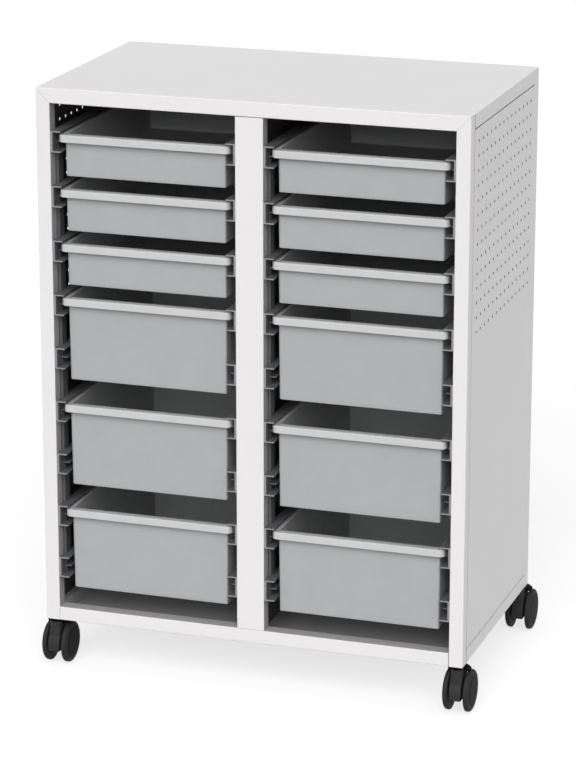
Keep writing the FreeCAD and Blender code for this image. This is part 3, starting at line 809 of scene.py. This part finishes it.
def tray_shell(low, high, settings):
    """Moulded tray as one closed wall: rounded rectangles round the tray, stacked along its section.

    The section runs from the floor up the inner wall, over the rim, down and round the skirt, back
    under the rim and down the outer wall; (x inset, y inset, height, corner radius) ride along it.
    """
    s = settings
    deep = high[2] - low[2]
    slope_out = s.draft * deep
    slope_in = s.draft * (deep - s.wall)
    w, c = s.wall, s.body_corner
    within, below = w + slope_in + s.floor_inside, slope_out + s.floor_outside
    section = np.array([
        (s.side + within, s.end + within, w - deep, c),
        (s.side + w + slope_in, s.end + w + slope_in, w - deep, c - w / 2),
        (s.side + w, s.end + w, 0, c - w / 2),
        (0, 0, 0, s.rim_corner),
        (0, 0, -s.skirt, s.rim_corner),
        (w, w, -s.skirt, s.rim_corner - w),
        (w, w, -w, s.rim_corner - w),
        (s.side, s.end, -w, c),
        (s.side + slope_out, s.end + slope_out, -deep, c),
        (s.side + below, s.end + below, -deep, c),
    ])
    cuts = np.array([0, 6, 1.6, s.bead / MM, 0.7, 0.7, 1.0, 0.8, 1.4, 0]) * MM
    line = eased_open(section, cuts, 5)
    half = (high[:2] - low[:2]) / 2 - line[:, :2]
    outline = rounded_rectangle((high[:2] + low[:2]) / 2, half, np.maximum(line[:, 3], 1.5 * MM), 7)
    rings = np.zeros(outline.shape[:2] + (3,))
    rings[..., :2] = outline
    rings[..., 2] = high[2] + line[:, 2, None]
    return skin(rings)


class TRAYUNIT_OT_trays(bpy.types.Operator):
    """Build the shallow and deep trays"""

    bl_idname = "tray_unit.trays"
    bl_label = "Trays"

    def execute(self, context):
        settings = context.scene.tray_unit.trays
        finish = finishes()
        for node in (f"tray_{bay}_{level}" for bay in BAYS for level in LEVELS):
            low, high = (np.array(corner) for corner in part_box(node))
            inner_low = low[:2] + (settings.side, settings.end)
            inner_high = high[:2] - (settings.side, settings.end)

            # Rim faces take the lighter, more opaque rim finish; those that face up take the nearly clear
            # lip, as painted shade.
            def thick(at, n, inner_low=inner_low, inner_high=inner_high, top=high[2]):
                beyond = ((at[:, :2] < inner_low) | (at[:, :2] > inner_high)).any(1)
                beyond &= at[:, 2] > top - settings.rim_zone
                return np.where(beyond, np.where(n[:, 2] > 0.35, 2, 1), 0)

            add_piece(f"{node}_shell", tray_shell(low, high, settings),
                      [finish["tray"], finish["rim"], finish["lip"]], node, [node], thick)
        return {"FINISHED"}


def caster_wheel(inner, outwards, axle_y, axle_z, settings):
    """Wheel of revolution: from the flat face over the domed shoulder and the tread to the bore."""
    radius, width, face, lead = settings.wheel / 2, settings.width, settings.face, settings.lead
    middle, bore, bore_depth = 0.2 * MM, 3.2 * MM, 9.6 * MM
    section = np.array([
        (width, middle), (width, face),
        (width - 0.9 * MM, face + 6 * MM), (width - 2 * MM, radius - 2.9 * MM),
        (width - 3.6 * MM, radius - 0.8 * MM), (settings.tread, radius), (lead, radius),
        (lead - 0.6 * MM, radius - 1.5 * MM), (lead - 1 * MM, radius - 12 * MM),
        (0, radius - 15 * MM), (0, bore), (bore_depth, bore), (bore_depth, middle)])
    cuts = np.array([0, 3, 2, 1.5, 1, 1, 0.6, 0.5, 1, 1, 0.3, 0.3, 0]) * MM
    line = eased_open(section, cuts, 4)
    line[:, 0] *= outwards
    return revolved(line, (inner, axle_y, axle_z), 0, 88)


def caster_housing(x, y, settings, top):
    """Caster body: a neck that widens into the body between the wheels, a swivel collar and a hood.

    At each height the neck and body have a rounded rectangle for a section. Its front lies on the
    circle trail - sqrt(radius^2 - (height - axle)^2) or on the neck, whichever is further forward, and
    its corners open from sharp edges low down into the round neck. Collar and hood are revolved lines.
    """
    s = settings
    radius, axle = s.wheel / 2 - s.inset, s.wheel / 2
    crown = top - s.collar_height
    shoulder = axle + np.sqrt(radius ** 2 - s.heel ** 2)
    high = np.concatenate([
        s.foot + np.array([0, 0.3, 1]) * MM, np.linspace(s.foot + 3 * MM, shoulder, 24),
        [axle + radius - 0.2 * MM, axle + radius, axle + radius + 0.1 * MM],
        crown - np.array([4, 1, 0.3, 0]) * MM])
    draw_in = np.concatenate([np.array([1, 0.3]) * MM, np.zeros(len(high) - 4), np.array([0.3, 1]) * MM])
    across = np.sqrt(np.maximum(radius ** 2 - (high - axle) ** 2, 0))
    front = np.minimum(s.trail - across, -s.neck)
    rear = np.where(high <= shoulder, s.trail + s.heel, s.trail + across)
    rear = np.where(high > axle + radius, s.neck, rear)
    levels, radii = (55, 60, 65, 67.5, 70, 73), (1, 2, 3.3, 6.5, 9, 10.2)
    corner = np.interp(high / MM, levels, radii) * MM
    centre = np.stack([np.zeros(len(high)), (front + rear) / 2], -1) + (x, y)
    half = np.stack([np.full(len(high), s.housing / 2), (rear - front) / 2], -1) - draw_in[:, None]
    outline = rounded_rectangle(centre[:, None], half, corner - draw_in / 2, 8)
    rings = np.zeros(outline.shape[:2] + (3,))
    rings[..., :2] = outline
    rings[..., 2] = high[:, None]

    collar = np.array([(-0.5 * MM, 0.3 * MM), (-0.5 * MM, s.collar), (top - crown, s.collar),
                       (top - crown, 0.3 * MM)])
    collar = revolved(eased_open(collar, 0.5 * MM, 2), (x, y, crown), 2, 40)
    hood = np.array([(-7.6, 0.3), (-7.6, 16), (-6, 18.6), (-5.6, 20.4), (-4.6, 20.8),
                     (-2.8, 18.9), (-0.7, 16.4), (0, 14.2), (0, 0.3)]) * MM
    hood[:, 1] *= s.hood / hood[:, 1].max()
    hood = revolved(eased_open(hood, 0.9 * MM, 3), (x, y + s.hood_back, crown), 2, 64)
    return joined([skin(rings), collar, hood])


class TRAYUNIT_OT_casters(bpy.types.Operator):
    """Build the twin-wheel casters"""

    bl_idname = "tray_unit.casters"
    bl_label = "Casters"

    def execute(self, context):
        settings = context.scene.tray_unit.casters
        finish = finishes()
        for corner in CORNERS:
            low, high = (np.array(c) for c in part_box(f"stem_{corner}"))
            x, y = (low[:2] + high[:2]) / 2
            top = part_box(f"fork_{corner}")[1].z

            # The hood and the collar take the near-black cap: black nylon, darkened further as painted shade.
            def dark(at, n, x=x, y=y, crown=top - settings.collar_height, neck=settings.neck):
                beside = np.hypot(at[:, 0] - x, at[:, 1] - y) > neck + 0.2 * MM
                on_hood = (at[:, 2] > crown - 7 * MM) & beside
                on_collar = at[:, 2] > crown - 0.1 * MM
                return (on_hood | on_collar).astype(int)

            add_piece(f"fork_{corner}_housing", caster_housing(x, y, settings, top),
                      [finish["nylon"], finish["cap"]], f"caster_{corner}",
                      [f"fork_{corner}"], dark)
            for side, hand in (("left", -1), ("right", 1)):
                node = f"wheel_{corner}_{side}"
                inner = x + hand * (settings.housing / 2 + settings.gap)
                shape = caster_wheel(inner, hand, y + settings.trail, settings.wheel / 2, settings)
                axle = (y + settings.trail, settings.wheel / 2)

                # The wheel's outer face takes the darker hub finish, as painted shade.
                def disc(at, n, axle=axle, edge=settings.face + settings.hub_edge):
                    return (np.hypot(at[:, 1] - axle[0], at[:, 2] - axle[1]) < edge).astype(int)

                add_piece(f"{node}_tyre", shape, [finish["tyre"], finish["hub"]], node,
                          [node], disc)
            repaint(f"axle_{corner}", finish["steel"])
            under, inset, stem = BODY_LOW[2], settings.socket_inset, settings.stem
            plate = slab(np.array((low[0], low[1], under - settings.flange)),
                         np.array((high[0], high[1], under)), 2, 5 * MM, 0.6 * MM, 0.6 * MM)
            line = [(-26 * MM, stem - 0.9 * MM), (-25 * MM, stem), (-1.5 * MM, stem), (-1.4 * MM, 0.3 * MM)]
            pin = revolved(np.array(line), (x, y, under), 2, 40)
            socket = slab(np.array((low[0] + inset, low[1] + inset, under - 0.5 * MM)),
                          np.array((high[0] - inset, high[1] - inset, high[2])),
                          2, 1.5 * MM, 0.8 * MM, 0.8 * MM)
            # The stem inserts are near-black: black nylon, darkened further as painted shade under the posts.
            add_piece(f"stem_{corner}_insert", joined([plate, pin, socket]), [finish["cap"]],
                      "cabinet", [f"stem_{corner}"])
        return {"FINISHED"}


# ------------------------------------------------------------------ stage


def towards(azimuth, elevation):
    """Direction from the unit to a point at this azimuth (0 in front, 90 at its right) and height."""
    a, e = np.radians(azimuth), np.radians(elevation)
    return np.array([np.sin(a) * np.cos(e), -np.cos(a) * np.cos(e), np.sin(e)])


def seen_directly(tree):
    """1 for rays from the camera, a mirror or through glass, and 0 for the light on the unit."""
    path = add_node(tree, "ShaderNodeLightPath")
    either = add_node(tree, "ShaderNodeMath", {"operation": "MAXIMUM"},
                      {0: path.outputs["Is Camera Ray"], 1: path.outputs["Is Glossy Ray"]})
    return add_node(tree, "ShaderNodeMath", {"operation": "MAXIMUM"},
                    {0: either.outputs[0], 1: path.outputs["Is Transmission Ray"]}).outputs[0]


class TRAYUNIT_OT_stage(bpy.types.Operator):
    """Set up the floor, the light and the camera"""

    bl_idname = "tray_unit.stage"
    bl_label = "Floor, light and camera"

    def execute(self, context):
        scene = context.scene
        stage = scene.tray_unit.stage
        scene.view_settings.view_transform = "Standard"

        world = bpy.data.worlds.new("Even studio")
        world.use_nodes = True
        tree = world.node_tree
        tree.nodes.clear()
        even = add_node(tree, "ShaderNodeBackground", {"Color": (1, 1, 1, 1), "Strength": stage.ambient})
        white = add_node(tree, "ShaderNodeBackground", {"Color": (1, 1, 1, 1), "Strength": 1.0})
        mix = add_node(tree, "ShaderNodeMixShader", None,
                       {0: seen_directly(tree), 1: even.outputs[0], 2: white.outputs[0]})
        add_node(tree, "ShaderNodeOutputWorld", None, {0: mix.outputs[0]})
        scene.world = world

        side = np.linspace(-30, 30, 13)
        flat = np.stack(np.broadcast_arrays(side[:, None], side, 0 * side), -1).reshape(-1, 3)
        mesh = bpy.data.meshes.new("floor")
        mesh.from_pydata(flat.tolist(), [], quads(13, 13, wrap=False)[:, ::-1].tolist())
        floor = bpy.data.objects.new("floor", mesh)
        scene.collection.objects.link(floor)
        # Sealed pale floor: matt, grey in the light, and lifted to white only where it is looked at.
        material, tree, out, where = new_material("pale_floor")
        tone = tinted(tree, (0.4, 0.4, 0.4), 1.0, 1.025, noise(tree, where, 1 / 12, 2.0))
        lift = add_node(tree, "ShaderNodeMath", {"operation": "MULTIPLY", 1: 0.7},
                        {0: seen_directly(tree)})
        matt = add_node(tree, "ShaderNodeBsdfPrincipled",
                        {"Roughness": 1.0, "Specular IOR Level": 0.0, "Emission Color": (1, 1, 1, 1)},
                        {"Base Color": tone, "Emission Strength": lift.outputs[0]})
        tree.links.new(matt.outputs[0], out.inputs[0])
        mesh.materials.append(material)

        for name, level, azimuth, elevation, spread in (
                ("front_lamp", stage.key, 10, 35, 50), ("side_lamp", stage.fill, 80, 25, 60)):
            lamp = bpy.data.lights.new(name, "SUN")
            lamp.energy = level
            lamp.angle = np.radians(spread)
            bulb = bpy.data.objects.new(name, lamp)
            bulb.rotation_mode = "QUATERNION"
            bulb.rotation_quaternion = Vector(towards(azimuth, elevation)).to_track_quat("Z", "Y")
            scene.collection.objects.link(bulb)

        camera = bpy.data.cameras.new("camera")
        camera.lens = stage.lens
        camera.sensor_width = 36
        camera.clip_end = 100
        eye = bpy.data.objects.new("camera", camera)
        eye.rotation_mode = "QUATERNION"
        back = towards(stage.azimuth, stage.elevation)
        eye.location = np.array(stage.target) + back * stage.distance
        eye.rotation_quaternion = Vector(back).to_track_quat("Z", "Y")
        scene.collection.objects.link(eye)
        scene.camera = eye
        return {"FINISHED"}


# ------------------------------------------------------------------ panel

STEPS = (TRAYUNIT_OT_tubes, TRAYUNIT_OT_sheets, TRAYUNIT_OT_side_panels, TRAYUNIT_OT_runners,
         TRAYUNIT_OT_trays, TRAYUNIT_OT_casters, TRAYUNIT_OT_stage)
GROUPS = (TubeSettings, PanelSettings, RunnerSettings, TraySettings, CasterSettings, FinishSettings,
          StageSettings, TrayUnitSettings)


class TRAYUNIT_PT_sidebar(bpy.types.Panel):
    """Sizes, finishes and build steps of the tray unit"""

    bl_label = "Tray unit"
    bl_idname = "TRAYUNIT_PT_sidebar"
    bl_space_type = "VIEW_3D"
    bl_region_type = "UI"
    bl_category = "Tray unit"

    def draw(self, context):
        settings = context.scene.tray_unit
        for step in STEPS:
            self.layout.operator(step.bl_idname)
        for group in settings.bl_rna.properties.keys():
            if group in ("rna_type", "name"):
                continue
            box = self.layout.box()
            box.label(text=group.capitalize())
            values = getattr(settings, group)
            for field in values.bl_rna.properties.keys():
                if field not in ("rna_type", "name"):
                    box.prop(values, field)


def register():
    for group in GROUPS + STEPS + (TRAYUNIT_PT_sidebar,):
        bpy.utils.register_class(group)
    bpy.types.Scene.tray_unit = PointerProperty(type=TrayUnitSettings)


def unregister():
    del bpy.types.Scene.tray_unit
    for group in reversed(GROUPS + STEPS + (TRAYUNIT_PT_sidebar,)):
        bpy.utils.unregister_class(group)


def main():
    register()
    bpy.ops.tray_unit.tubes()
    bpy.ops.tray_unit.sheets()
    bpy.ops.tray_unit.side_panels()
    bpy.ops.tray_unit.runners()
    bpy.ops.tray_unit.trays()
    bpy.ops.tray_unit.casters()
    bpy.ops.tray_unit.stage()
    bpy.context.view_layer.update()


if __name__ == "__main__":
    main()
